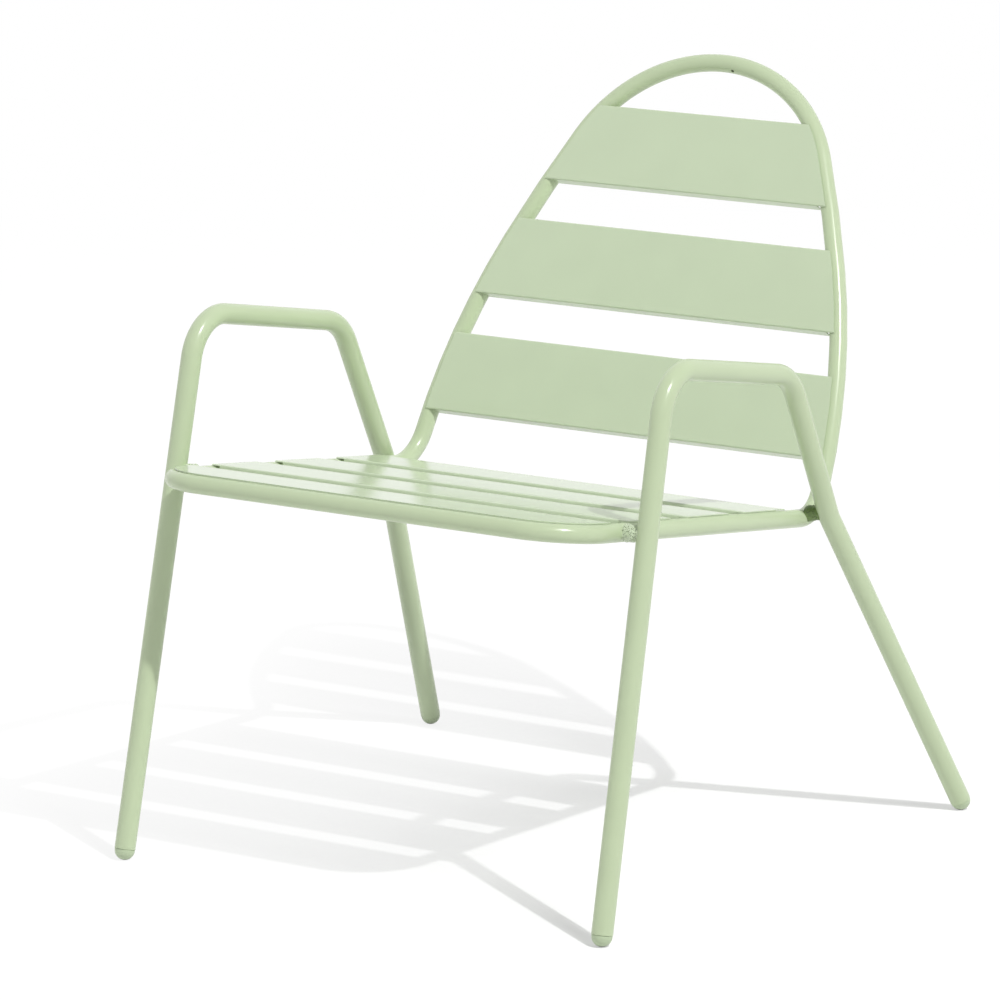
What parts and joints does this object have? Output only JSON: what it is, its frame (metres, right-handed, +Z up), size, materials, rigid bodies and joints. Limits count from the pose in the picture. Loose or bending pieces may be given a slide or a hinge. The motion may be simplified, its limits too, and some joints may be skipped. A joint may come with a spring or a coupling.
{
  "type": "garden armchair",
  "caption": "Low metal garden armchair: tube loop for the seat and arched back, folded sheet slats, bent tube legs with armrests, domed foot plugs.",
  "frame": {"origin": "on the floor, at the bottom centre of the chair's bounding box", "axes": "-Y is the chair's front, +X is the sitter's left, +Z is up"},
  "size_m": [0.7036, 0.7303, 0.7821],
  "materials": {
    "loop_paint": "semi-gloss sage green powder coat",
    "side_frame_paint": "semi-gloss sage green powder coat",
    "slat_paint": "semi-gloss sage green powder coat",
    "spacer_paint": "sage green powder coat over weld metal",
    "foot_plastic": "satin plastic in the frame's green"
  },
  "bodies": {
    "root": {"back_slat_bottom": "slat_paint", "back_slat_middle": "slat_paint", "back_slat_top": "slat_paint", "foot_plug_front_left": "foot_plastic", "foot_plug_front_right": "foot_plastic", "foot_plug_rear_left": "foot_plastic", "foot_plug_rear_right": "foot_plastic", "seat_back_loop": "loop_paint", "seat_slat_1": "slat_paint", "seat_slat_2": "slat_paint", "seat_slat_3": "slat_paint", "seat_slat_4": "slat_paint", "side_frame_left": "side_frame_paint", "side_frame_right": "side_frame_paint", "spacer_front_left": "spacer_paint", "spacer_front_right": "spacer_paint", "spacer_rear_left": "spacer_paint", "spacer_rear_right": "spacer_paint"}
  },
  "joints": []
}
